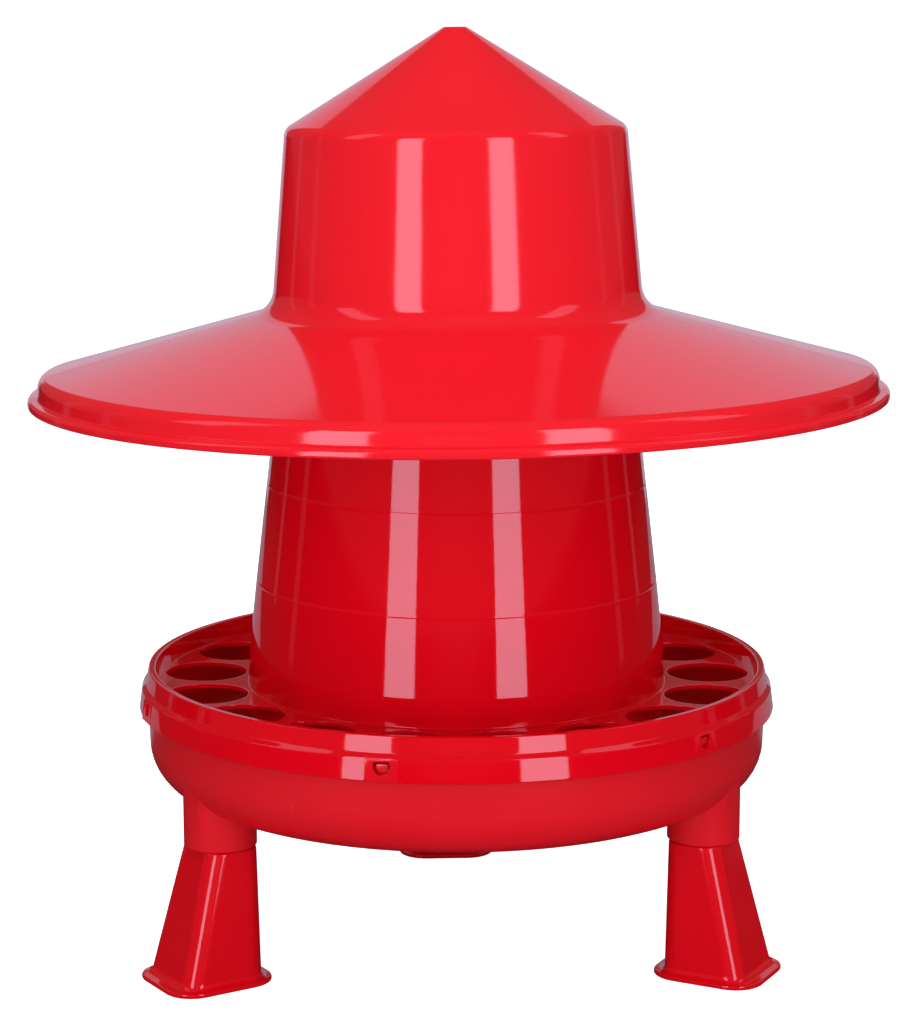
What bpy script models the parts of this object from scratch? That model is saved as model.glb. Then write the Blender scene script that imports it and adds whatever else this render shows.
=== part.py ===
# Poultry feeder: a tapered feed hopper on a round bowl, a ring plate of head
# holes snapped over the bowl, a wide rain hat that lifts off, a feed cone in
# the bowl and three splayed push-in legs.
# Units are metres, +Z is up, the origin is on the centre line at the floor.
import math

import bmesh
import bpy
from mathutils import Matrix, Vector

for old in list(bpy.data.objects):
    bpy.data.objects.remove(old, do_unlink=True)

# ---------------------------------------------------------------- dimensions
MM = 0.001
SEG = 48                    # facets of a full turn
GAP = 0.3 * MM              # free play between two touching pieces
WALL = 3.0 * MM             # wall of the hat, the bowl and the legs

# rain hat
HAT_R = 250.0 * MM          # outer edge of the rolled bead
HAT_BOTTOM = 325.6 * MM
HAT_TOP = 537.5 * MM
TIP_R = 6.4 * MM
SHOULDER = (98.8 * MM, 481.0 * MM)
CROWN_BASE = (108.0 * MM, 377.0 * MM)
RIM_CORNER = (243.5 * MM, 337.0 * MM)
RIM_FOOT = (244.5 * MM, 330.4 * MM)

# hopper, and the ring plate round its foot
HOPPER_FOOT_R = 123.2 * MM
PLATE_TOP = 155.1 * MM
PLATE_T = 2.8 * MM
HOLE_COUNT = 17
HOLE_R = 24.4 * MM
HOLE_PITCH_R = 150.8 * MM
HOLE_PHASE = -95.66         # degrees from the front, first hole

# snap windows in the skirt, and the hooks of the bowl that sit in them
SNAP_COUNT = 6
SNAP_PHASE = -12.8
WINDOW_W = 9.2 * MM
WINDOW_Z = (145.4 * MM, 152.9 * MM)
HOOK_W = 7.2 * MM
HOOK_Z = (146.5 * MM, 151.3 * MM)
HOOK_R = 185.6 * MM

# bowl
BOWL_BOTTOM = 95.4 * MM
BOWL_TOP = 151.9 * MM
BOWL_CORNER = (181.4 * MM, 95.4 * MM)
BOWL_ROUND = 28.6 * MM
BOWL_RIM_R = 183.1 * MM
RING_R = (83.6 * MM, 86.0 * MM)
RING_TOP = 101.6 * MM

# leg sockets under the bowl
LEG_PHASE = 2.6             # degrees that the set of legs is turned
LEG_PITCH_R = 160.0 * MM
SOCKET_R = 20.8 * MM
SOCKET_BOTTOM = 78.8 * MM
BORE_R = 17.3 * MM
BORE_TOP = 95.0 * MM

# legs
SPIGOT_R = 17.0 * MM
SPIGOT_TOP = 94.5 * MM
FOOT_PITCH_R = 169.5 * MM
FLANGE_PITCH_R = 170.7 * MM
FOOT_FLANGE = (34.3 * MM, 28.1 * MM, 17.2 * MM)   # half length, half width, corner
FOOT_BODY = (26.3 * MM, 22.9 * MM, 8.5 * MM)
FLANGE_T = 2.6 * MM

# feed cone inside the bowl
CONE_R = 96.0 * MM
CONE_TOP = 152.0 * MM


# ------------------------------------------------------------------- helpers
def material(name, colour, rough):
    m = bpy.data.materials.new(name)
    m.use_nodes = True
    b = m.node_tree.nodes["Principled BSDF"]
    b.inputs["Base Color"].default_value = (*colour, 1.0)
    b.inputs["Roughness"].default_value = rough
    b.inputs["Metallic"].default_value = 0.0
    return m


def rounded(points, radii, steps=4):
    """Replace each corner of an open (r, z) line with an arc of its radius."""
    out = []
    last = len(points) - 1
    for i, p in enumerate(points):
        p = Vector(p)
        rad = radii[i]
        if i in (0, last) or rad <= 0.0:
            out.append((p.x, p.y))
            continue
        a = Vector(points[i - 1]) - p
        b = Vector(points[i + 1]) - p
        la, lb = a.length, b.length
        a.normalize()
        b.normalize()
        half = math.acos(max(-1.0, min(1.0, a.dot(b)))) / 2.0
        t = min(rad / math.tan(half), 0.48 * la, 0.48 * lb)
        rr = t * math.tan(half)
        c = p + (a + b).normalized() * (rr / math.sin(half))
        v0 = p + a * t - c
        v1 = p + b * t - c
        a0 = math.atan2(v0.y, v0.x)
        turn = (math.atan2(v1.y, v1.x) - a0 + math.pi) % (2 * math.pi) - math.pi
        for k in range(steps + 1):
            q = a0 + turn * k / steps
            out.append((c.x + rr * math.cos(q), c.y + rr * math.sin(q)))
    return out


def finish(name, bm, mat, angle=35.0):
    bmesh.ops.recalc_face_normals(bm, faces=bm.faces)
    mesh = bpy.data.meshes.new(name)
    bm.to_mesh(mesh)
    bm.free()
    mesh.materials.append(mat)
    mesh.shade_smooth()
    mesh.set_sharp_from_angle(angle=math.radians(angle))
    obj = bpy.data.objects.new(name, mesh)
    bpy.context.scene.collection.objects.link(obj)
    return obj


def turned(name, profile, mat, seg=SEG):
    """Turn a closed (r, z) outline about the Z axis. Points at r = 0 are poles."""
    bm = bmesh.new()
    rings = []
    for r, z in profile:
        if r < 1e-7:
            rings.append([bm.verts.new((0.0, 0.0, z))])
        else:
            rings.append([bm.verts.new((r * math.cos(2 * math.pi * k / seg),
                                        r * math.sin(2 * math.pi * k / seg), z))
                          for k in range(seg)])
    n = len(rings)
    for i in range(n):
        a, b = rings[i], rings[(i + 1) % n]
        if len(a) == 1 and len(b) == 1:
            continue
        for k in range(seg):
            k2 = (k + 1) % seg
            if len(a) == 1:
                bm.faces.new((a[0], b[k2], b[k]))
            elif len(b) == 1:
                bm.faces.new((a[k], a[k2], b[0]))
            else:
                bm.faces.new((a[k], a[k2], b[k2], b[k]))
    return finish(name, bm, mat)


def section(half_r, half_t, corner, per_quarter=6):
    """Rounded rectangle in the leg's own radial and tangential directions."""
    pts = []
    for sx, sy, base in ((1, 1, 0), (-1, 1, 90), (-1, -1, 180), (1, -1, 270)):
        for k in range(per_quarter):
            q = math.radians(base + 90.0 * (k + 0.5) / per_quarter)
            pts.append((sx * (half_r - corner) + corner * math.cos(q),
                        sy * (half_t - corner) + corner * math.sin(q)))
    return pts


def directions(azimuth):
    """Outward and sideways unit vectors at an azimuth counted from the front."""
    q = math.radians(azimuth)
    return Vector((math.sin(q), -math.cos(q), 0.0)), Vector((math.cos(q), math.sin(q), 0.0))


def loft(name, azimuth, levels, mat):
    """Skin closed sections stacked in z; each level is (z, centre radius, section)."""
    er, et = directions(azimuth)
    bm = bmesh.new()
    rings = []
    for z, centre, pts in levels:
        rings.append([bm.verts.new(er * (centre + u) + et * v + Vector((0, 0, z)))
                      for u, v in pts])
    n = len(rings[0])
    bm.faces.new(rings[0])
    bm.faces.new(rings[-1])
    for a, b in zip(rings[:-1], rings[1:]):
        for k in range(n):
            k2 = (k + 1) % n
            bm.faces.new((a[k], a[k2], b[k2], b[k]))
    return finish(name, bm, mat)


def cutter(obj):
    obj.hide_render = True
    obj.display_type = 'WIRE'
    obj.hide_set(True)
    return obj


def boolean(obj, tool, operation):
    cutter(tool)
    mod = obj.modifiers.new(tool.name, 'BOOLEAN')
    mod.operation = operation
    mod.solver = 'EXACT'
    mod.object = tool


def joined(name, objs, mat):
    """Put separate cutters that don't touch into one object."""
    bm = bmesh.new()
    for o in objs:
        bm.from_mesh(o.data)
    for o in objs:
        bpy.data.objects.remove(o, do_unlink=True)
    return finish(name, bm, mat)


def d_block(name, azimuth, r0, r1, width, z0, z1, mat):
    """Block with a flat top and a half-round bottom, standing out radially."""
    er, et = directions(azimuth)
    h = width / 2.0
    drop = min(h, (z1 - z0) * 0.62)
    pts = [(-h, z1), (h, z1)]
    for k in range(7):
        q = math.pi * k / 6.0
        pts.append((h * math.cos(q), z0 + drop - drop * math.sin(q)))
    bm = bmesh.new()
    rings = [[bm.verts.new(er * r + et * u + Vector((0, 0, z))) for u, z in pts]
             for r in (r0, r1)]
    n = len(pts)
    bm.faces.new(rings[0])
    bm.faces.new(rings[1])
    for k in range(n):
        k2 = (k + 1) % n
        bm.faces.new((rings[0][k], rings[0][k2], rings[1][k2], rings[1][k]))
    return finish(name, bm, mat)


red_gloss = material("red_gloss", (0.62, 0.008, 0.016), 0.16)
red_hat = material("red_hat", (0.70, 0.014, 0.026), 0.20)
red_satin = material("red_satin", (0.50, 0.010, 0.016), 0.34)


# ------------------------------------------------------------------ rain hat
def rain_hat():
    outer = rounded([(0.0, HAT_TOP), (TIP_R, HAT_TOP), SHOULDER, CROWN_BASE,
                     RIM_CORNER, RIM_FOOT],
                    [0, 0, 7.5 * MM, 16.5 * MM, 11.0 * MM, 0], 4)
    bead = [(247.6 * MM, 330.1 * MM), (249.5 * MM, 328.9 * MM), (HAT_R, 327.4 * MM),
            (249.5 * MM, 326.1 * MM), (248.4 * MM, HAT_BOTTOM), (241.6 * MM, HAT_BOTTOM)]
    t = WALL
    inner = rounded([(241.6 * MM, HAT_BOTTOM), (RIM_CORNER[0] - t, RIM_CORNER[1] - 2.3 * MM),
                     (CROWN_BASE[0] - 2.8 * MM, CROWN_BASE[1] - 2.3 * MM),
                     (SHOULDER[0] - 2.9 * MM, SHOULDER[1] - 1.7 * MM),
                     (0.0, HAT_TOP - 0.2 * MM)],
                    [0, 8.0 * MM, 19.0 * MM, 4.5 * MM, 0], 3)[1:-1]
    cone_slope = (HAT_TOP - SHOULDER[1]) / (SHOULDER[0] - TIP_R)
    tip_in = SHOULDER[1] - 3.5 * MM + (SHOULDER[0] - 7.0 * MM) * cone_slope
    inner += [(7.0 * MM, tip_in), (0.0, tip_in)]
    return turned("rain_hat", outer + bead + inner, red_hat)


# -------------------------------------------------------------------- hopper
def hopper():
    outline = [(84.5, 481.6), (90.9, 481.6), (91.5, 481.0), (91.5, 478.4), (87.9, 476.6),
               (111.2, 275.8), (120.1, 200.4), (122.9, 174.0), (HOPPER_FOOT_R / MM, 160.0),
               (HOPPER_FOOT_R / MM, 140.3), (HOPPER_FOOT_R / MM - 2.8, 140.3),
               (HOPPER_FOOT_R / MM - 2.8, 171.0), (117.2, 200.4), (108.4, 275.8),
               (85.0, 475.6)]
    return turned("hopper", [(r * MM, z * MM) for r, z in outline], red_gloss)


# ------------------------------------ ring plate with head holes, rim, skirt
def head_grid():
    seat = HOPPER_FOOT_R / MM + 0.3
    outline = [(119.6, 138.0), (119.6, 140.0), (seat, 140.0), (seat, 155.1),
               (177.2, 155.1), (178.0, 165.7), (178.6, 166.3), (181.5, 166.3), (182.1, 165.6),
               (183.3, 156.8), (185.8, 155.4), (188.0, 141.8), (185.6, 141.8), (184.0, 152.3),
               (126.5, 152.3), (126.5, 138.0)]
    obj = turned("head_grid", [(r * MM, z * MM) for r, z in outline], red_gloss)
    holes = []
    for k in range(HOLE_COUNT):
        er, et = directions(HOLE_PHASE + 360.0 * k / HOLE_COUNT)
        bm = bmesh.new()
        bmesh.ops.create_cone(bm, cap_ends=True, cap_tris=False, segments=20,
                              radius1=HOLE_R, radius2=HOLE_R, depth=12.0 * MM)
        turn = Matrix(((er.x, et.x, 0, 0), (er.y, et.y, 0, 0), (0, 0, 1, 0), (0, 0, 0, 1)))
        place = Matrix.Translation(er * HOLE_PITCH_R + Vector((0, 0, PLATE_TOP - PLATE_T / 2)))
        bmesh.ops.transform(bm, matrix=place @ turn, verts=bm.verts)
        holes.append(finish("hole_%02d" % k, bm, red_gloss))
    boolean(obj, joined("head_hole_cutters", holes, red_gloss), 'DIFFERENCE')
    wins = [d_block("window_%d" % k, SNAP_PHASE + 60.0 * k, 182.9 * MM, 191.0 * MM,
                    WINDOW_W, WINDOW_Z[0], WINDOW_Z[1], red_gloss)
            for k in range(SNAP_COUNT)]
    boolean(obj, joined("snap_window_cutters", wins, red_gloss), 'DIFFERENCE')
    return obj


# ---------------------------------------------------------------------- bowl
def feed_bowl():
    outer = rounded([(0.0, BOWL_BOTTOM), BOWL_CORNER, (BOWL_RIM_R, BOWL_TOP), (0.0, BOWL_TOP)],
                    [0, BOWL_ROUND, 0, 0], 6)
    obj = turned("feed_bowl", outer, red_satin)
    sockets = []
    for k in range(3):
        sockets.append(loft("socket_%d" % k, LEG_PHASE + 60.0 + 120.0 * k,
                            [(SOCKET_BOTTOM, LEG_PITCH_R, section(SOCKET_R, SOCKET_R, SOCKET_R)),
                             (118.0 * MM, LEG_PITCH_R, section(SOCKET_R, SOCKET_R, SOCKET_R))],
                            red_satin))
    boolean(obj, joined("socket_bodies", sockets, red_satin), 'UNION')
    inner = rounded([(0.0, BOWL_BOTTOM + WALL), (BOWL_CORNER[0] - 2.9 * MM, BOWL_BOTTOM + WALL),
                     (BOWL_RIM_R - 2.7 * MM, BOWL_TOP + 20.0 * MM), (0.0, BOWL_TOP + 20.0 * MM)],
                    [0, BOWL_ROUND - WALL, 0, 0], 6)
    boolean(obj, turned("bowl_cavity", inner, red_satin), 'DIFFERENCE')
    bores = []
    for k in range(3):
        bores.append(loft("bore_%d" % k, LEG_PHASE + 60.0 + 120.0 * k,
                          [(70.0 * MM, LEG_PITCH_R, section(BORE_R, BORE_R, BORE_R)),
                           (BORE_TOP, LEG_PITCH_R, section(BORE_R, BORE_R, BORE_R))],
                          red_satin))
    boolean(obj, joined("socket_bores", bores, red_satin), 'DIFFERENCE')
    ring = turned("cone_ring", [(RING_R[0], 96.8 * MM), (RING_R[1], 96.8 * MM),
                                (RING_R[1], RING_TOP), (RING_R[0], RING_TOP)], red_satin)
    boolean(obj, ring, 'UNION')
    hooks = [d_block("hook_%d" % k, SNAP_PHASE + 60.0 * k, 181.4 * MM, HOOK_R,
                     HOOK_W, HOOK_Z[0], HOOK_Z[1], red_satin)
             for k in range(SNAP_COUNT)]
    boolean(obj, joined("snap_hooks", hooks, red_satin), 'UNION')
    return obj


# ----------------------------------------------------------------- feed cone
def feed_cone():
    profile = [(0.0, CONE_TOP), (8.0 * MM, 150.4 * MM), (17.0 * MM, 145.8 * MM),
               (91.0 * MM, 102.4 * MM), (CONE_R, 99.6 * MM), (CONE_R, 98.7 * MM),
               (92.4 * MM, 98.7 * MM), (89.4 * MM, 100.0 * MM), (15.6 * MM, 142.9 * MM),
               (7.0 * MM, 147.2 * MM), (0.0, 148.6 * MM)]
    return turned("feed_cone", profile, red_satin, 36)


# ---------------------------------------------------------------------- legs
def leg(name, azimuth):
    top = SOCKET_BOTTOM - GAP
    fa, fb, fc = FOOT_BODY
    la, lb, lc = FOOT_FLANGE

    def body(z, inset=0.0):
        """Section of the leg body at height z, from round at the top to a
        rounded rectangle above the flange."""
        s = (top - z) / (top - 9.0 * MM)
        a = SOCKET_R + (fa - SOCKET_R) * s - inset
        b = SOCKET_R + (fb - SOCKET_R) * s - inset
        c = SOCKET_R + (fc - SOCKET_R) * s - inset
        c = max(min(c, a, b), 2.0 * MM)
        centre = LEG_PITCH_R + (FOOT_PITCH_R - LEG_PITCH_R) * s
        return centre, section(a, b, c)

    levels = [(0.0, FLANGE_PITCH_R, section(la - 0.6 * MM, lb - 0.6 * MM, lc - 0.6 * MM)),
              (0.8 * MM, FLANGE_PITCH_R, section(la, lb, lc)),
              (2.0 * MM, FLANGE_PITCH_R, section(la, lb, lc)),
              (FLANGE_T, FLANGE_PITCH_R, section(la - 0.8 * MM, lb - 0.8 * MM, lc - 0.8 * MM)),
              (3.6 * MM, FOOT_PITCH_R, section(fa + 2.6 * MM, fb + 2.2 * MM, fc + 3.0 * MM)),
              (5.6 * MM, FOOT_PITCH_R, section(fa + 0.7 * MM, fb + 0.6 * MM, fc + 0.8 * MM))]
    for z in (9.0 * MM, 26.0 * MM, 44.0 * MM, 62.0 * MM, top):
        centre, pts = body(z)
        levels.append((z, centre, pts))
    spig = section(SPIGOT_R, SPIGOT_R, SPIGOT_R)
    levels += [(top, LEG_PITCH_R, spig),
               (SPIGOT_TOP - 1.0 * MM, LEG_PITCH_R, spig),
               (SPIGOT_TOP, LEG_PITCH_R, section(SPIGOT_R - 1.0 * MM, SPIGOT_R - 1.0 * MM,
                                                 SPIGOT_R - 1.0 * MM))]
    obj = loft(name, azimuth, levels, red_gloss)

    hollow = []
    for z in (-3.0 * MM, 26.0 * MM, 48.0 * MM, 70.0 * MM):
        centre, pts = body(max(z, 0.0), WALL)
        hollow.append((z, centre, pts))
    core = section(13.8 * MM, 13.8 * MM, 13.8 * MM)
    hollow += [(78.0 * MM, LEG_PITCH_R, core), (91.3 * MM, LEG_PITCH_R, core)]
    boolean(obj, loft(name + "_hollow", azimuth, hollow, red_gloss), 'DIFFERENCE')
    return obj


rain_hat()
hopper()
head_grid()
feed_bowl()
feed_cone()
leg("leg_right", LEG_PHASE + 60.0)
leg("leg_rear", LEG_PHASE + 180.0)
leg("leg_left", LEG_PHASE + 300.0)
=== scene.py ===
"""Looks of the poultry feeder: fine turned and lofted mouldings in glossy red
plastic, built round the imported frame, with a plain studio."""
import math

import bmesh
import bpy
from mathutils import Matrix, Vector


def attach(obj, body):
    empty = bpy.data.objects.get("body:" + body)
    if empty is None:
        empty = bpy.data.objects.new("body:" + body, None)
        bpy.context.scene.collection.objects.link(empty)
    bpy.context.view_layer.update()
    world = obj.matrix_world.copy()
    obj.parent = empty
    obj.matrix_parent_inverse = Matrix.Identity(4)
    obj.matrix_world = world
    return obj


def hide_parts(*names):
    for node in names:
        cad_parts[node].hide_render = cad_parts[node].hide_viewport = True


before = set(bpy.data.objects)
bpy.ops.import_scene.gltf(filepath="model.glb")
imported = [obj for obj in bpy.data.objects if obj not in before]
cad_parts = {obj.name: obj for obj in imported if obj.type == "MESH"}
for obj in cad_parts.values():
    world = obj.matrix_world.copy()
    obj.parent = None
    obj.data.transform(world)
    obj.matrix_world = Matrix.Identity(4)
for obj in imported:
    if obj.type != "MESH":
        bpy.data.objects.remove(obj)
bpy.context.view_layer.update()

MM = 0.001


# ------------------------------------------------------------------- helpers
def outline(points, closed=True, step=9.0, support=0.35):
    """Round the corners of an (r, z, radius) line given in millimetres. A short
    support edge on both sides of every arc keeps the long faces' shading true."""
    n = len(points)
    out = []
    for i in range(n):
        r, z, rho = points[i]
        p = Vector((r, z))
        if not closed and i in (0, n - 1):
            out.append((p.x, p.y))
            continue
        a = Vector(points[i - 1][:2]) - p
        b = Vector(points[(i + 1) % n][:2]) - p
        la, lb = a.length, b.length
        a.normalize()
        b.normalize()
        dot = max(-1.0, min(1.0, a.dot(b)))
        full = math.acos(dot)
        if rho <= 0.0 or math.pi - full < 0.01:
            out.append((p.x, p.y))
            continue
        half = full / 2.0
        t = min(rho / math.tan(half), 0.46 * la, 0.46 * lb)
        rr = t * math.tan(half)
        c = p + (a + b).normalized() * (rr / math.sin(half))
        v0 = p + a * t - c
        v1 = p + b * t - c
        a0 = math.atan2(v0.y, v0.x)
        turn = (math.atan2(v1.y, v1.x) - a0 + math.pi) % (2 * math.pi) - math.pi
        k = max(3, int(math.ceil(abs(math.degrees(turn)) / step)))
        sa, sb = min(support, 0.2 * la), min(support, 0.2 * lb)
        q0 = p + a * (t + min(sa, 0.48 * la - t if 0.48 * la > t else 0.0))
        q1 = p + b * (t + min(sb, 0.48 * lb - t if 0.48 * lb > t else 0.0))
        if (q0 - (c + v0)).length > 1e-4:
            out.append((q0.x, q0.y))
        for j in range(k + 1):
            q = a0 + turn * j / k
            out.append((c.x + rr * math.cos(q), c.y + rr * math.sin(q)))
        if (q1 - (c + v1)).length > 1e-4:
            out.append((q1.x, q1.y))
    return [(r * MM, z * MM) for r, z in out]


def link(name, bm, mat, angle=38.0):
    bmesh.ops.recalc_face_normals(bm, faces=bm.faces)
    mesh = bpy.data.meshes.new(name)
    bm.to_mesh(mesh)
    bm.free()
    mesh.materials.append(mat)
    mesh.shade_smooth()
    mesh.set_sharp_from_angle(angle=math.radians(angle))
    obj = bpy.data.objects.new(name, mesh)
    bpy.context.scene.collection.objects.link(obj)
    return obj


def ring_of(bm, r, z, seg):
    if r < 1e-7:
        return [bm.verts.new((0.0, 0.0, z))]
    return [bm.verts.new((r * math.cos(2 * math.pi * k / seg),
                          r * math.sin(2 * math.pi * k / seg), z)) for k in range(seg)]


def skin(bm, a, b):
    n = max(len(a), len(b))
    for k in range(n):
        k2 = (k + 1) % n
        if len(a) == 1:
            bm.faces.new((a[0], b[k2], b[k]))
        elif len(b) == 1:
            bm.faces.new((a[k], a[k2], b[0]))
        else:
            bm.faces.new((a[k], a[k2], b[k2], b[k]))


def revolve(name, profile, mat, seg=192, angle=38.0):
    bm = bmesh.new()
    rings = [ring_of(bm, r, z, seg) for r, z in profile]
    n = len(rings)
    for i in range(n):
        a, b = rings[i], rings[(i + 1) % n]
        if len(a) == 1 and len(b) == 1:
            continue
        skin(bm, a, b)
    return link(name, bm, mat, angle)


def directions(azimuth):
    q = math.radians(azimuth)
    return Vector((math.sin(q), -math.cos(q), 0.0)), Vector((math.cos(q), math.sin(q), 0.0))


def section(half_r, half_t, corner, n=10):
    """Rounded rectangle, millimetres, with support points beside every corner."""
    corner = min(corner, half_r - 0.35, half_t - 0.35)
    pts = []
    quad = ((1, 1, 0), (-1, 1, 90), (-1, -1, 180), (1, -1, 270))
    for i, (sx, sy, base) in enumerate(quad):
        cx, cy = sx * (half_r - corner), sy * (half_t - corner)
        flat = 2 * ((half_r - corner) if i % 2 == 1 else (half_t - corner))
        s0 = min(0.4, 0.3 * flat)
        a = math.radians(base)
        tx, ty = -math.sin(a), math.cos(a)
        pts.append((cx + corner * math.cos(a) - tx * s0, cy + corner * math.sin(a) - ty * s0))
        for k in range(n + 1):
            q = math.radians(base + 90.0 * k / n)
            pts.append((cx + corner * math.cos(q), cy + corner * math.sin(q)))
        flat = 2 * ((half_t - corner) if i % 2 == 1 else (half_r - corner))
        s1 = min(0.4, 0.3 * flat)
        a = math.radians(base + 90.0)
        tx, ty = -math.sin(a), math.cos(a)
        pts.append((cx + corner * math.cos(a) + tx * s1, cy + corner * math.sin(a) + ty * s1))
    return pts


def loft(name, azimuth, levels, mat, cap=(True, True), angle=38.0, around=False):
    """Skin sections given as (z, centre radius, points), all in millimetres."""
    er, et = directions(azimuth)
    bm = bmesh.new()
    rings = [[bm.verts.new((er * (c + u) + et * v + Vector((0, 0, z))) * MM) for u, v in pts]
             for z, c, pts in levels]
    if around:
        skin(bm, rings[-1], rings[0])
    else:
        if cap[0]:
            bm.faces.new(rings[0])
        if cap[1]:
            bm.faces.new(rings[-1])
    for a, b in zip(rings[:-1], rings[1:]):
        skin(bm, a, b)
    return link(name, bm, mat, angle)


def d_block(name, azimuth, r0, r1, width, z0, z1, mat, n=10, edge=0.0):
    """Block with a flat top and a half-round bottom that stands out radially."""
    er, et = directions(azimuth)
    h = width / 2.0
    drop = min(h, (z1 - z0) * 0.62)

    def rim(inset):
        hh, zz1, zz0 = h - inset, z1 - inset, z0 + inset
        c = 0.9 - min(0.8, inset)
        pts = [(-hh, zz1 - c), (-hh + 0.3 * c, zz1 - 0.3 * c), (-hh + c, zz1),
               (hh - c, zz1), (hh - 0.3 * c, zz1 - 0.3 * c), (hh, zz1 - c)]
        for k in range(n + 1):
            q = math.pi * k / n
            pts.append((hh * math.cos(q), zz0 + drop - drop * math.sin(q)))
        return pts
    levels = [(r0, rim(0.0))]
    if edge:
        levels += [(r1 - edge, rim(0.0)), (r1 - 0.3 * edge, rim(0.3 * edge)), (r1, rim(edge))]
    else:
        levels.append((r1, rim(0.0)))
    bm = bmesh.new()
    rings = [[bm.verts.new((er * r + et * u + Vector((0, 0, z))) * MM) for u, z in pts]
             for r, pts in levels]
    bm.faces.new(rings[0])
    bm.faces.new(rings[-1])
    for a, b in zip(rings[:-1], rings[1:]):
        skin(bm, a, b)
    return link(name, bm, mat, 30.0)


def merged(name, objs, mat, angle=38.0):
    bm = bmesh.new()
    for o in objs:
        bm.from_mesh(o.data)
    for o in objs:
        bpy.data.objects.remove(o, do_unlink=True)
    return link(name, bm, mat, angle)


def carve(obj, steps, angle=38.0):
    """Run exact booleans on obj, keep the result as its mesh, drop the tools."""
    for tool, operation in steps:
        mod = obj.modifiers.new(tool.name, 'BOOLEAN')
        mod.operation = operation
        mod.solver = 'EXACT'
        mod.object = tool
    deps = bpy.context.evaluated_depsgraph_get()
    mesh = bpy.data.meshes.new_from_object(obj.evaluated_get(deps))
    obj.modifiers.clear()
    old = obj.data
    obj.data = mesh
    bpy.data.meshes.remove(old)
    for tool, _ in steps:
        bpy.data.objects.remove(tool, do_unlink=True)
    mesh.shade_smooth()
    mesh.set_sharp_from_angle(angle=math.radians(angle))
    return obj


# ----------------------------------------------------------------- materials
def plastic(name, colour, rough, spread=0.04, peel=0.35, coat=0.0, scuff=0.10):
    """Moulded polypropylene: faint cloudiness in the colour, uneven gloss, soft
    orange peel, hairline scuffs."""
    m = bpy.data.materials.new(name)
    m.use_nodes = True
    nt = m.node_tree
    b = nt.nodes["Principled BSDF"]
    b.inputs["IOR"].default_value = 1.49
    b.inputs["Specular IOR Level"].default_value = 0.5
    b.inputs["Coat Weight"].default_value = coat
    b.inputs["Coat Roughness"].default_value = 0.06
    tex = nt.nodes.new("ShaderNodeTexCoord")

    cloud = nt.nodes.new("ShaderNodeTexNoise")
    cloud.inputs["Scale"].default_value = 7.0
    cloud.inputs["Detail"].default_value = 3.0
    nt.links.new(tex.outputs["Object"], cloud.inputs["Vector"])
    tint = nt.nodes.new("ShaderNodeMix")
    tint.data_type = 'RGBA'
    tint.inputs[6].default_value = (colour[0] * 0.95, colour[1] * 0.92, colour[2] * 0.92, 1)
    tint.inputs[7].default_value = (min(1.0, colour[0] * 1.04), colour[1] * 1.12, colour[2] * 1.12, 1)
    nt.links.new(cloud.outputs["Fac"], tint.inputs[0])
    nt.links.new(tint.outputs[2], b.inputs["Base Color"])

    smear = nt.nodes.new("ShaderNodeTexNoise")
    smear.inputs["Scale"].default_value = 22.0
    smear.inputs["Detail"].default_value = 4.0
    nt.links.new(tex.outputs["Object"], smear.inputs["Vector"])
    gloss = nt.nodes.new("ShaderNodeMapRange")
    gloss.inputs["From Min"].default_value = 0.3
    gloss.inputs["From Max"].default_value = 0.7
    gloss.inputs["To Min"].default_value = rough - spread * 0.5
    gloss.inputs["To Max"].default_value = rough + spread
    nt.links.new(smear.outputs["Fac"], gloss.inputs["Value"])

    # hairlines: thin level sets of a stretched noise
    turn = nt.nodes.new("ShaderNodeMapping")
    turn.inputs["Rotation"].default_value = (0.5, 0.8, 0.2)
    turn.inputs["Scale"].default_value = (90.0, 14.0, 60.0)
    nt.links.new(tex.outputs["Object"], turn.inputs["Vector"])
    hair = nt.nodes.new("ShaderNodeTexNoise")
    hair.inputs["Scale"].default_value = 1.0
    hair.inputs["Detail"].default_value = 6.0
    hair.inputs["Roughness"].default_value = 0.65
    nt.links.new(turn.outputs["Vector"], hair.inputs["Vector"])
    thin = nt.nodes.new("ShaderNodeMapRange")
    thin.inputs["From Min"].default_value = 0.66
    thin.inputs["From Max"].default_value = 0.74
    thin.inputs["To Min"].default_value = 0.0
    thin.inputs["To Max"].default_value = scuff
    nt.links.new(hair.outputs["Fac"], thin.inputs["Value"])
    total = nt.nodes.new("ShaderNodeMath")
    total.operation = 'ADD'
    nt.links.new(gloss.outputs["Result"], total.inputs[0])
    nt.links.new(thin.outputs["Result"], total.inputs[1])
    nt.links.new(total.outputs["Value"], b.inputs["Roughness"])

    wave = nt.nodes.new("ShaderNodeTexNoise")
    wave.inputs["Scale"].default_value = 38.0
    wave.inputs["Detail"].default_value = 2.0
    nt.links.new(tex.outputs["Object"], wave.inputs["Vector"])
    bump = nt.nodes.new("ShaderNodeBump")
    bump.inputs["Strength"].default_value = peel
    bump.inputs["Distance"].default_value = 0.00012
    nt.links.new(wave.outputs["Fac"], bump.inputs["Height"])
    fine = nt.nodes.new("ShaderNodeTexNoise")
    fine.inputs["Scale"].default_value = 900.0
    fine.inputs["Detail"].default_value = 2.0
    nt.links.new(tex.outputs["Object"], fine.inputs["Vector"])
    grain = nt.nodes.new("ShaderNodeBump")
    grain.inputs["Strength"].default_value = 0.12
    grain.inputs["Distance"].default_value = 0.00002
    nt.links.new(fine.outputs["Fac"], grain.inputs["Height"])
    nt.links.new(bump.outputs["Normal"], grain.inputs["Normal"])
    nt.links.new(grain.outputs["Normal"], b.inputs["Normal"])
    return m


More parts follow.
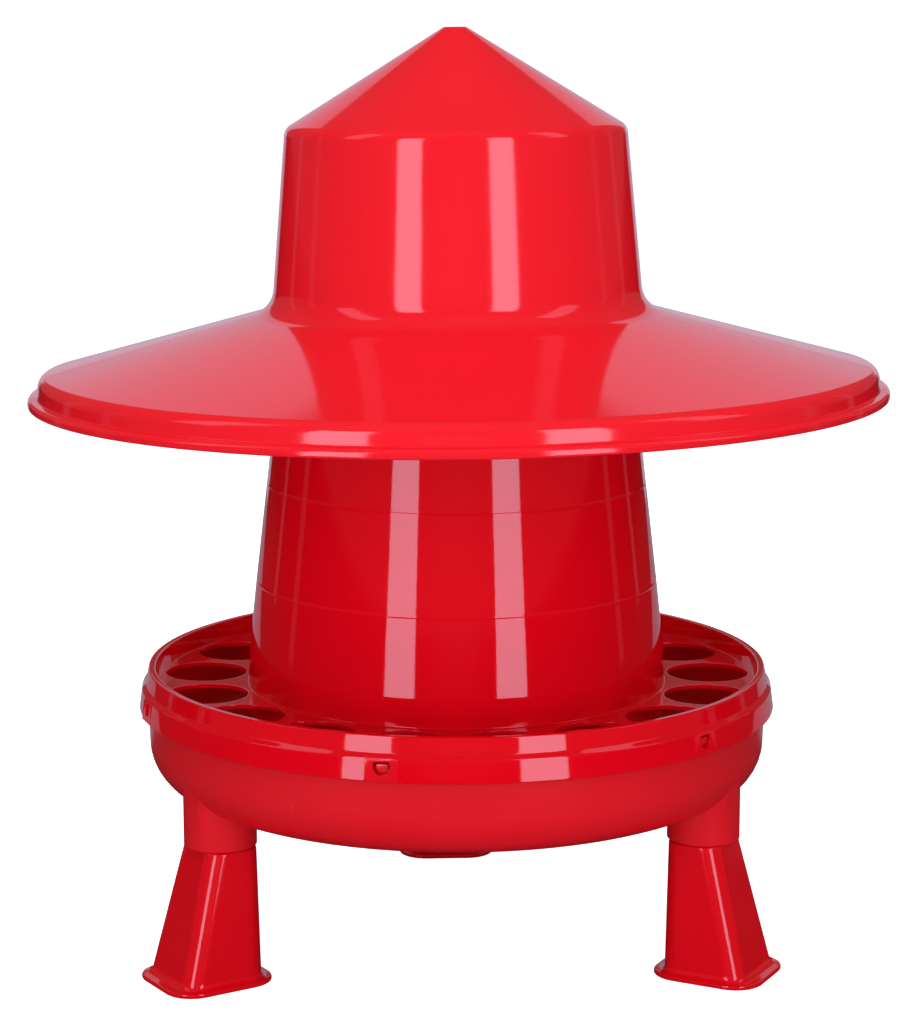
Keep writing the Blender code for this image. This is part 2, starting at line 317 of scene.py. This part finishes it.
# The hat's red is set brighter than the red of the other parts: painted light, standing in for light
# shining through the thin plastic shell.
hat_red = plastic("hat_red", (0.93, 0.011, 0.020), 0.085, spread=0.02, scuff=0.06)
hopper_red = plastic("hopper_red", (0.82, 0.0013, 0.0080), 0.045, spread=0.012, peel=0.25, scuff=0.06)
bowl_red = plastic("bowl_red", (0.82, 0.0050, 0.0120), 0.20)
leg_red = plastic("leg_red", (0.80, 0.0020, 0.0080), 0.09, spread=0.03)


# ------------------------------------------------------------------ rain hat
def rain_hat():
    outer = [(0.0, 538.3, 0), (6.4, 538.3, 1.5), (98.7, 481.6, 7.5), (108.0, 377.5, 16.5),
             (243.3, 342.2, 10.0), (244.6, 331.6, 0.9), (249.95, 330.6, 3.4),
             (249.95, 325.7, 1.3), (241.6, 325.7, 0.8),
             (240.4, 339.7, 7.5), (105.2, 375.1, 19.0), (95.9, 481.2, 4.5),
             (6.6, 535.6, 3.0), (0.0, 535.6, 0)]
    obj = revolve("rain_hat_shell", outline(outer, closed=False), hat_red, 240)
    # the thin brim droops a little at the back, so its rim wall is lower there
    for v in obj.data.vertices:
        r = math.hypot(v.co.x, v.co.y)
        if r > 0.105:
            back = (math.degrees(math.acos(max(-1.0, min(1.0, -v.co.y / r)))) - 80.0) / 70.0
            back = max(0.0, min(1.0, back))
            out_ward = min(1.0, (r - 0.105) / 0.130)
            upward = max(0.0, min(1.0, (v.co.z - 0.3320) / 0.0080))
            v.co.z -= 0.0050 * back * back * (3.0 - 2.0 * back) * out_ward * upward
    # the hat sits on the hopper a little askew, as a loose lid does
    pivot = Matrix.Translation((0.0, 0.0, 0.33))
    askew = (Matrix.Rotation(math.radians(-0.60), 4, 'Y') @ Matrix.Rotation(math.radians(-0.67), 4, 'X'))
    obj.data.transform(Matrix.Translation((0.0013, 0.0, -0.0009)) @ pivot @ askew @ pivot.inverted())
    return obj


# ------------------------------------------------- hopper and its ring plate
HOLES = 17
SEG = HOLES * 12
PHASE = -95.66
PITCH = 150.8
HOLE_R = 24.1
PLATE_IN, PLATE_OUT = 125.2, 176.0


def sector_loop(r_in, r_out, half, inset=0.0):
    """Boundary of one hole's sector, in radius and angle, counted from its middle."""
    pts = []
    for k in range(12):
        pts.append((r_out, -half + 2 * half * k / 12))
    for k in range(8):
        pts.append((r_out + (r_in - r_out) * k / 8, half))
    for k in range(12):
        pts.append((r_in, half - 2 * half * k / 12))
    for k in range(8):
        pts.append((r_in + (r_out - r_in) * k / 8, -half))
    return pts


def hopper_and_grid():
    """The feed tube and the ring plate as the one moulding that they are."""
    ring = lambda z: (106.3 + (317.0 - z) * 0.117)
    upper = [(84.5, 479.6, 0.8), (91.3, 479.6, 1.2), (91.3, 476.2, 0.8), (88.2, 474.6, 0.8)]
    for z, h, w in ((274.7, 0.09, 0.50), (217.0, 0.08, 0.45)):
        r = ring(z)
        upper += [(ring(z + w + 0.9), z + w + 0.9, 0), (ring(z + w), z + w, 0),
                  (r + h, z + 0.12, 0), (r + h, z - 0.12, 0),
                  (ring(z - w), z - w, 0), (ring(z - w - 0.9), z - w - 0.9, 0)]
    upper += [(123.0, 172.2, 2.5), (123.2, 155.1, 0.9)]
    # everything from the plate's outer edge, round the rim and skirt, back under the plate
    rim = [(176.9, 155.1, 0.4), (178.1, 166.3, 1.1), (182.1, 166.3, 0.9), (184.0, 157.0, 1.6),
           (186.2, 154.5, 1.6), (187.9, 141.9, 0.55), (185.6, 141.9, 0.5), (183.9, 152.3, 0.9)]
    lower = [(123.6, 152.3, 1.0), (123.6, 138.2, 0.8), (120.5, 138.2, 0.8), (120.5, 171.5, 4.0),
             (117.2, 200.4, 0), (108.4, 275.8, 0), (85.0, 473.6, 2.0)]

    a = outline([lower[-1]] + upper + [(PLATE_IN + 20, 155.1, 0)], closed=False)[1:-1]
    b = outline([(PLATE_OUT - 20, 155.1, 0)] + rim + [(PLATE_OUT - 20, 152.3, 0)], closed=False)[1:-1]
    c = outline([(PLATE_IN + 20, 152.3, 0)] + lower + [upper[0]], closed=False)[1:-1]
    # the plate's own edges, where the sectors with the holes join on
    a += [(PLATE_IN * MM, 155.1 * MM)]
    b = [(PLATE_OUT * MM, 155.1 * MM)] + b + [(PLATE_OUT * MM, 152.3 * MM)]
    c = [(PLATE_IN * MM, 152.3 * MM)] + c

    bm = bmesh.new()
    start = math.radians(PHASE - 90.0) - math.pi / HOLES     # world angle of the first sector edge

    def ring_at(r, z):
        return [bm.verts.new((r * math.cos(start + 2 * math.pi * k / SEG),
                              r * math.sin(start + 2 * math.pi * k / SEG), z))
                for k in range(SEG)]
    ra = [ring_at(r, z) for r, z in a]
    rb = [ring_at(r, z) for r, z in b]
    rc = [ring_at(r, z) for r, z in c]
    for chain in (ra, rb, rc):
        for p, q in zip(chain[:-1], chain[1:]):
            skin(bm, p, q)
    skin(bm, rc[-1], ra[0])

    # hole profile: (grow, z) of the rings from the plate's top through to its bottom
    edge = 0.45
    wall = [(edge + 0.35, 155.1)]
    for k in range(5):
        q = math.radians(22.5 * k)
        wall.append((edge * (1 - math.sin(q)), 155.1 - edge * (1 - math.cos(q))))
    wall.append((0.0, 153.9))
    for k in range(4):
        q = math.radians(30.0 * k)
        wall.append((0.5 * (1 - math.cos(q)), 152.3 + 0.5 * (1 - math.sin(q))))
    wall.append((0.8, 152.3))
    half = math.pi / HOLES
    spokes = {}

    def spoke(side, j, r, z):
        key = (side % HOLES, j, round(z, 2))
        if key not in spokes:
            q = start + 2 * math.pi * (side % HOLES) / HOLES
            spokes[key] = bm.verts.new((r * math.cos(q) * MM, r * math.sin(q) * MM, z * MM))
        return spokes[key]

    for s in range(HOLES):
        mid = start + 2 * math.pi * (s + 0.5) / HOLES
        loops = []
        for z, r_out_ring, r_in_ring in ((155.1, rb[0], ra[-1]), (152.3, rb[-1], rc[0])):
            loop = []
            for k in range(12):
                loop.append(r_out_ring[(s * 12 + k) % SEG])
            for k in range(8):
                r = PLATE_OUT + (PLATE_IN - PLATE_OUT) * k / 8
                loop.append(r_out_ring[(s * 12 + 12) % SEG] if k == 0 else spoke(s + 1, k, r, z))
            for k in range(12):
                loop.append(r_in_ring[(s * 12 + 12 - k) % SEG])
            for k in range(8):
                r = PLATE_IN + (PLATE_OUT - PLATE_IN) * k / 8
                loop.append(r_in_ring[(s * 12) % SEG] if k == 0 else spoke(s, 8 - k, r, z))
            loops.append(loop)
        ex, ey = math.cos(mid), math.sin(mid)
        angles = []
        for v in loops[0]:
            dx, dy = v.co.x / MM - PITCH * ex, v.co.y / MM - PITCH * ey
            angles.append(math.atan2(dy, dx))
        rings = []
        for grow, z in wall:
            rr = HOLE_R + grow
            rings.append([bm.verts.new(((PITCH * ex + rr * math.cos(t)) * MM,
                                        (PITCH * ey + rr * math.sin(t)) * MM, z * MM))
                          for t in angles])
        skin(bm, loops[0], rings[0])
        for p, q in zip(rings[:-1], rings[1:]):
            skin(bm, p, q)
        skin(bm, rings[-1], loops[1])
    obj = link("hopper_with_ring_plate", bm, hopper_red)

    # flat pads on the skirt, then the snap windows through them
    pads, windows = [], []
    for k in range(6):
        az = -12.4 + 60.0 * k
        er, _ = directions(az)
        face, et = directions(az + 2.6)     # the flats are a little off square
        pbm = bmesh.new()
        rows = [(154.4, 186.00), (153.9, 186.50), (142.3, 188.15), (141.9, 187.85)]
        sides = [-9.3, -9.0, 9.0, 9.3]
        outer = []
        for z, r in rows:
            line = []
            for i, u in enumerate(sides):
                back = 0.35 if i in (0, 3) else 0.0
                line.append(pbm.verts.new((er * (r - back) + et * u + Vector((0, 0, z))) * MM))
            outer.append(line)
        inner = [[pbm.verts.new((er * (r - 1.25) + et * u + Vector((0, 0, z))) * MM) for u in sides]
                 for z, r in rows]
        for g, flip in ((outer, False), (inner, True)):
            for i in range(3):
                for j in range(3):
                    pbm.faces.new((g[i][j], g[i][j + 1], g[i + 1][j + 1], g[i + 1][j]))
        for i in range(3):
            pbm.faces.new((outer[i][0], outer[i + 1][0], inner[i + 1][0], inner[i][0]))
            pbm.faces.new((outer[i][3], outer[i + 1][3], inner[i + 1][3], inner[i][3]))
            pbm.faces.new((outer[0][i], outer[0][i + 1], inner[0][i + 1], inner[0][i]))
            pbm.faces.new((outer[3][i], outer[3][i + 1], inner[3][i + 1], inner[3][i]))
        pads.append(link("pad_%d" % k, pbm, hopper_red, 30.0))
        windows.append(d_block("window_%d" % k, az, 182.4, 192.0, 9.2, 145.4, 152.9, hopper_red))
    return carve(obj, [(merged("pads", pads, hopper_red), 'UNION'),
                       (merged("windows", windows, hopper_red), 'DIFFERENCE')])


# ---------------------------------------------------------------------- bowl
LEG_AZ = {"leg_right": 62.6, "leg_rear": 182.6, "leg_left": -57.4}
LEG_R = 160.0


def feed_bowl():
    shell = [(0.0, 95.4, 0), (181.4, 95.4, 28.6), (182.9, 151.8, 0.9), (180.3, 151.8, 0.9),
             (178.5, 98.4, 25.6), (86.0, 98.4, 0.7), (86.0, 101.6, 0.6), (83.6, 101.6, 0.6),
             (83.6, 98.4, 0.7), (0.0, 98.4, 0)]
    obj = revolve("feed_bowl_shell", outline(shell, closed=False), bowl_red, 192)

    def disc(r):
        return section(r, r, r, 14)
    bosses, bores = [], []
    for az in LEG_AZ.values():
        bosses.append(loft("boss", az, [(78.8, LEG_R, disc(20.3)), (78.95, LEG_R, disc(20.65)),
                                        (79.3, LEG_R, disc(20.8)), (79.7, LEG_R, disc(20.8)),
                                        (118.0, LEG_R, disc(20.8))], bowl_red))
        bores.append(loft("bore", az, [(70.0, LEG_R, disc(17.3)), (95.0, LEG_R, disc(17.3))],
                          bowl_red))
    # the bosses must not show inside the trough: cut them back to the bowl's inside first
    cavity = [(0.0, 98.4, 0), (178.5, 98.4, 25.6), (180.3, 165.0, 0), (0.0, 165.0, 0)]
    tool = revolve("cavity", outline(cavity, closed=False), bowl_red, 192)
    boss = carve(merged("bosses", bosses, bowl_red), [(tool, 'DIFFERENCE')])
    hooks = [d_block("hook_%d" % k, -12.4 + 60.0 * k, 181.4, 185.5, 7.0, 146.6, 151.3, bowl_red,
                     edge=0.5) for k in range(6)]
    return carve(obj, [(boss, 'UNION'), (merged("bores", bores, bowl_red), 'DIFFERENCE'),
                       (merged("hooks", hooks, bowl_red), 'UNION')])


# ----------------------------------------------------------------- feed cone
def feed_cone():
    shape = [(0.0, 151.9, 0), (7.0, 151.9, 3.0), (17.0, 145.8, 6.0), (91.0, 102.4, 4.0),
             (95.8, 99.9, 0.5), (95.8, 98.8, 0.4), (92.4, 98.8, 0.5), (89.4, 100.1, 3.0),
             (15.6, 142.9, 5.0), (6.5, 148.6, 2.0), (0.0, 148.6, 0)]
    return revolve("feed_cone_shell", outline(shape, closed=False), bowl_red, 144)


# ---------------------------------------------------------------------- legs
def leg(name, azimuth):
    """Rounded rectangle at the top, just inside the socket's circle, wider at the foot."""
    top = 78.5
    ha, hb = 16.0, 20.8
    fa, fb, fc = 24.6, 26.2, 10.0
    la, lb, lc = 32.8, 30.4, 17.2
    pitch0, pitch1, flange = LEG_R, 169.5, 170.2

    def at(z, grow=0.0):
        s = (top - z) / (top - 9.0)
        a = ha + (fa - ha) * s + grow
        b = hb + (fb - hb) * s + grow
        c = max(fc + grow, 2.0)
        return pitch0 + (pitch1 - pitch0) * s, section(a, b, c)

    levels = [(0.0, flange, section(la - 0.7, lb - 0.7, lc - 0.7)),
              (0.25, flange, section(la - 0.25, lb - 0.25, lc - 0.25)),
              (0.7, flange, section(la, lb, lc)), (1.9, flange, section(la, lb, lc)),
              (2.35, flange, section(la - 0.2, lb - 0.2, lc - 0.2)),
              (2.6, flange, section(la - 0.7, lb - 0.7, lc - 0.7)),
              (2.65, flange, section(la - 1.2, lb - 1.1, lc - 1.2))]
    # concave fillet from the flange up to the body
    for k in range(1, 8):
        q = math.radians(90.0 * k / 8)
        levels.append((2.65 + 3.6 * (1 - math.cos(q)), *at(2.65 + 3.6 * (1 - math.cos(q)),
                                                           3.2 * (1 - math.sin(q)))))
    for z in (6.6, 7.2, 9.0, 18.0, 27.0, 36.0, 45.0, 54.0, 63.0, 72.0, 77.2, 77.7):
        levels.append((z, *at(z)))
    levels += [(78.05, *at(78.05, -0.08)), (78.35, *at(78.35, -0.20)), (78.5, *at(78.5, -0.40))]
    levels += [(78.5, pitch0, section(15.5, 17.0, 14.0)), (78.8, pitch0, section(17.0, 17.0, 17.0)),
               (93.4, pitch0, section(17.0, 17.0, 17.0)), (94.1, pitch0, section(16.7, 16.7, 16.7)),
               (94.5, pitch0, section(16.0, 16.0, 16.0))]
    hollow = [(-3.0, *at(-1.0, -2.6)), (0.6, *at(0.6, -3.0))]
    for z in (26.0, 48.0, 70.0):
        hollow.append((z, *at(z, -3.0)))
    hollow += [(77.0, pitch0, section(12.8, 13.8, 12.4)), (80.0, pitch0, section(13.8, 13.8, 13.8)), (90.7, pitch0, section(13.8, 13.8, 13.8)),
               (91.3, pitch0, section(13.0, 13.0, 13.0))]
    return carve(loft(name + "_moulding", azimuth, levels, leg_red),
                 [(loft(name + "_hollow", azimuth, hollow, leg_red), 'DIFFERENCE')])


hat = rain_hat()
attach(hat, "hat")
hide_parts("rain_hat")

tube = hopper_and_grid()
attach(tube, "base")
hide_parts("hopper", "head_grid")

bowl = feed_bowl()
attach(bowl, "base")
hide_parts("feed_bowl")

cone = feed_cone()
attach(cone, "base")
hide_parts("feed_cone")

for node, az in LEG_AZ.items():
    piece = leg(node, az)
    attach(piece, node + "_body")
    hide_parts(node)


# -------------------------------------------------------------------- studio
COOL = (0.84, 1.0, 1.27)


def area(name, place, look, size, radiance, mirrored=True, colour=(1, 1, 1)):
    """Rectangular soft light of a given radiance; one that is not mirrored only
    fills, and leaves no reflection in the gloss."""
    light = bpy.data.lights.new(name, 'AREA')
    light.shape = 'RECTANGLE'
    light.size, light.size_y = size
    light.energy = radiance * math.pi * size[0] * size[1]
    light.color = colour
    obj = bpy.data.objects.new(name, light)
    bpy.context.scene.collection.objects.link(obj)
    obj.location = place
    obj.rotation_euler = (Vector(look) - Vector(place)).to_track_quat('-Z', 'Y').to_euler()
    obj.visible_camera = False
    obj.visible_glossy = mirrored
    return obj


def upright(name, azimuth, distance, z, size, radiance):
    """Soft light that stands upright and faces the centre line."""
    q = math.radians(azimuth)
    return area(name, (distance * math.sin(q), -distance * math.cos(q), z), (0, 0, z), size,
                radiance, True, COOL)


for side in (-1, 1):
    word = "left" if side < 0 else "right"
    upright("strip_" + word, 28.9 if side > 0 else -29.7, 1.75, 0.62, (0.49, 1.50), 4.3)
    upright("edge_c_" + word, 100.0 * side, 1.9, 0.55, (0.14, 1.10), 0.12)
    upright("edge_d_" + word, 122.0 * side, 1.9, 0.55, (0.12, 1.10), 0.13)
    area("side_" + word, (1.6 * side, -0.5, 1.55), (0, 0, 0.42), (0.5, 1.3), 1.1, True, COOL)
    area("rear_fill_" + word, (1.6 * side, 1.7, 1.3), (0, 0, 0.3), (1.4, 1.4), 1.6, False)
    area("front_fill_" + word, (0.9 * side, -1.7, 0.62), (0, 0, 0.4), (0.5, 1.5), 1.1, False)
area("front_low", (0.0, -2.0, 0.38), (0, 0, 0.25), (0.8, 0.6), 2.0, False)
area("top_fill", (0.0, -0.3, 2.2), (0, 0, 0.3), (2.4, 2.4), 1.5, False)
area("backdrop", (0.0, 1.2, 0.895), (0, 0, 0.895), (1.2, 0.82), 0.45, True, COOL)
area("low_backdrop", (0.0, 1.7, 0.23), (0, 0, 0.23), (1.7, 0.60), 0.50, True, COOL)
area("rear_floor", (0.0, 1.05, 0.0005), (0, 1.05, 1.0), (1.7, 1.3), 0.26, True, COOL)


def split(tree, output, others, camera_shader):
    """Show one shader to the camera, another to every other ray."""
    path = tree.nodes.new("ShaderNodeLightPath")
    mix = tree.nodes.new("ShaderNodeMixShader")
    tree.links.new(path.outputs["Is Camera Ray"], mix.inputs[0])
    tree.links.new(others.outputs[0], mix.inputs[1])
    tree.links.new(camera_shader.outputs[0], mix.inputs[2])
    tree.links.new(mix.outputs[0], output.inputs["Surface"])


world = bpy.data.worlds.new("studio")
bpy.context.scene.world = world
world.use_nodes = True
wn = world.node_tree
wn.nodes.clear()
out = wn.nodes.new("ShaderNodeOutputWorld")
bg_seen = wn.nodes.new("ShaderNodeBackground")
bg_seen.inputs["Color"].default_value = (1, 1, 1, 1)
bg_seen.inputs["Strength"].default_value = 1.05
bg_light = wn.nodes.new("ShaderNodeBackground")
bg_light.inputs["Color"].default_value = (1, 1, 1, 1)
bg_light.inputs["Strength"].default_value = 0.09
split(wn, out, bg_light, bg_seen)

floor_mesh = bpy.data.meshes.new("floor")
S = 60.0
floor_mesh.from_pydata([(-S, -S, 0), (S, -S, 0), (S, S, 0), (-S, S, 0)], [], [(0, 1, 2, 3)])
floor = bpy.data.objects.new("floor", floor_mesh)
bpy.context.scene.collection.objects.link(floor)
floor.location.z = -0.0003
fm = bpy.data.materials.new("pale_floor")
fm.use_nodes = True
fn = fm.node_tree
fn.nodes.clear()
out = fn.nodes.new("ShaderNodeOutputMaterial")
pale = fn.nodes.new("ShaderNodeBsdfDiffuse")
pale.inputs["Color"].default_value = (0.9, 0.9, 0.9, 1)
glow = fn.nodes.new("ShaderNodeEmission")
glow.inputs["Strength"].default_value = 1.0
both = fn.nodes.new("ShaderNodeAddShader")
fn.links.new(pale.outputs[0], both.inputs[0])
fn.links.new(glow.outputs[0], both.inputs[1])
bounce = fn.nodes.new("ShaderNodeBsdfDiffuse")
bounce.inputs["Color"].default_value = (0.60, 0.60, 0.60, 1)
dim = fn.nodes.new("ShaderNodeBsdfDiffuse")
dim.inputs["Color"].default_value = (0.04, 0.04, 0.04, 1)
rays = fn.nodes.new("ShaderNodeLightPath")
unseen = fn.nodes.new("ShaderNodeMixShader")
fn.links.new(rays.outputs["Is Glossy Ray"], unseen.inputs[0])
fn.links.new(bounce.outputs[0], unseen.inputs[1])
fn.links.new(dim.outputs[0], unseen.inputs[2])
split(fn, out, unseen, both)
floor_mesh.materials.append(fm)

cam_data = bpy.data.cameras.new("camera")
cam_data.lens = 2933.0 * 36.0 / 1024.0
cam_data.sensor_width = 36.0
cam = bpy.data.objects.new("camera", cam_data)
bpy.context.scene.collection.objects.link(cam)
cam.location = (0.0015, -1.7001, 0.5702)
cam.rotation_euler = (math.radians(79.5), 0.0, 0.0)
cam_data.clip_end = 200.0
bpy.context.scene.camera = cam
bpy.context.scene.view_settings.view_transform = 'Standard'
bpy.context.scene.view_settings.look = 'None'
